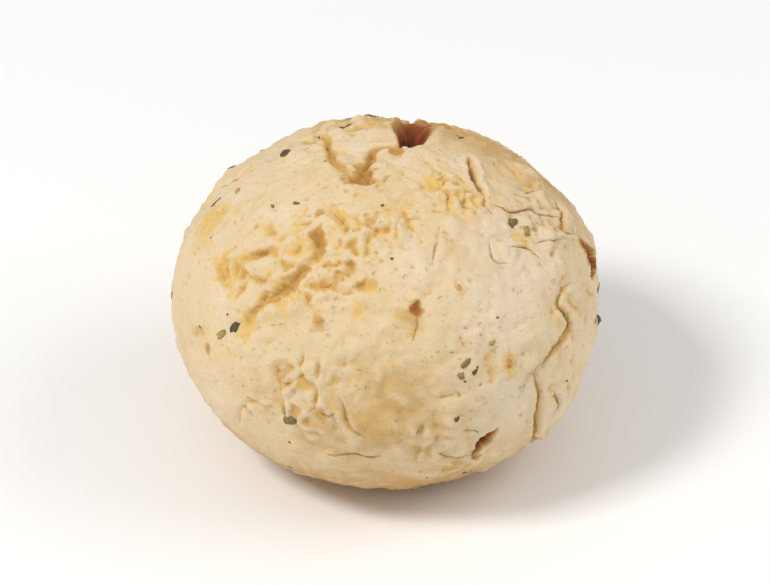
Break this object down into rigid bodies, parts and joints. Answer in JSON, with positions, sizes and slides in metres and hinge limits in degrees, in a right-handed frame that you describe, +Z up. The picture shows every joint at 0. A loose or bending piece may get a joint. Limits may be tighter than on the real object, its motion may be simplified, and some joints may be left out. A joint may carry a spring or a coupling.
{
  "type": "cheese bread ball",
  "caption": "Rounded baked cheese bread ball with a split crown, a torn shoulder and a small flat foot that it rests on.",
  "frame": {"origin": "middle of the ball's box in plan, on the flat foot that rests on the tray or table", "axes": "+Z up through the crown, -Y towards the front, where the torn shoulder is on the left, and the crown split lies behind the crown, towards +Y"},
  "size_m": [0.0542, 0.0534, 0.0407],
  "materials": {
    "baked_crust": "dry matt baked cheese dough crust, pale cream with tan and ochre patches, soft and slightly waxy"
  },
  "bodies": {
    "root": {"cheese_ball": "baked_crust"}
  },
  "joints": []
}
